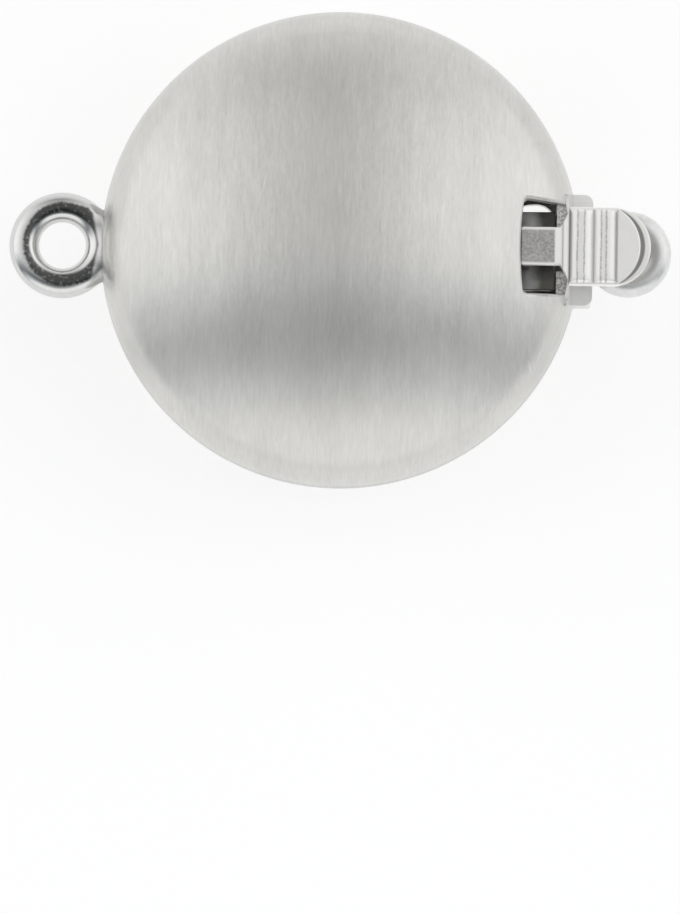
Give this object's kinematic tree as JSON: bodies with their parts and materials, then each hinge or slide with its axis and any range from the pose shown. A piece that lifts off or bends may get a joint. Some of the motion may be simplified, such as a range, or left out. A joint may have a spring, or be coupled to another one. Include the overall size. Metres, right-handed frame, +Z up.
{
  "type": "box clasp",
  "caption": "Round hollow box clasp for a necklace or bracelet, with an eye ring, a folded spring tongue, a ribbed thumb tab and a tongue ring.",
  "frame": {"origin": "middle of the ground under the clasp as it lies on its back dome, which is the lowest point of the round case", "axes": "+X from the eye ring to the tongue's ring, +Y across the thumb tab, +Z up, out of the front dome with the window"},
  "size_m": [0.0208, 0.015, 0.0075],
  "materials": {
    "brushed_silver": "fine matt brush lines across the clasp, rhodium-plated silver",
    "satin_silver": "satin, softly worn corners",
    "polished_silver": "polished wire",
    "spring_silver": "plain rolled strip, unpolished inside the case",
    "tab_silver": "polished ribs and smooth end, mottled on the foot"
  },
  "bodies": {
    "case": {"case": "brushed_silver", "mouth_sleeve": "satin_silver"},
    "tongue": {"tongue": "polished_silver"},
    "thumb_lever": {"spring_leaf": "spring_silver", "thumb_tab": "tab_silver"}
  },
  "joints": [
    {"name": "tongue_slide", "type": "slide", "parent": "case", "child": "tongue", "axis": [1, 0, 0], "range_m": [0, 0.0075]},
    {"name": "thumb_press", "type": "hinge", "parent": "tongue", "child": "thumb_lever", "pos_m": [0.0013, 0, 0.00345], "axis": [0, 1, 0], "range_deg": [0, 4], "stiffness_Nm_per_rad": 0.05, "springref_deg": -1.72}
  ]
}
